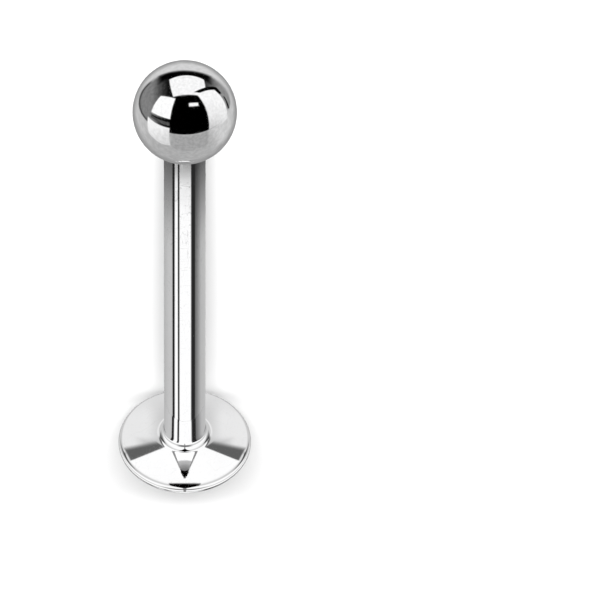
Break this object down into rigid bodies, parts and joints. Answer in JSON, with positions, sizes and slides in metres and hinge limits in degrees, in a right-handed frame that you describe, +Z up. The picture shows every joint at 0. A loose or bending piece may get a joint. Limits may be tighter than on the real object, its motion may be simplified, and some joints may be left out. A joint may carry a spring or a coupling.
{
  "type": "labret stud",
  "caption": "Labret stud: a straight round post with a lens disc at one end and a ball end that screws out of the other, lying on its side.",
  "frame": {"origin": "bottom centre of the stud's box, on the surface that it lies on", "axes": "+Z up from the surface; +X from the disc towards the ball, level, with the stud's own axis dipping 1.67 degrees below it; +Y across"},
  "size_m": [0.0166, 0.0038, 0.0038],
  "materials": {
    "polished_steel": "mirror-polished surgical steel of the post and disc",
    "ball_steel": "mirror-polished surgical steel of the ball",
    "machined_steel": "cut thread, finely machined and not polished"
  },
  "bodies": {
    "post": {"post": "polished_steel"},
    "ball_end": {"ball": "ball_steel", "threaded_pin": "machined_steel"}
  },
  "joints": [
    {"name": "ball_lift", "type": "slide", "parent": "post", "child": "ball_end", "axis": [0.9996, 0, -0.0291], "range_m": [0, 0.006]}
  ]
}
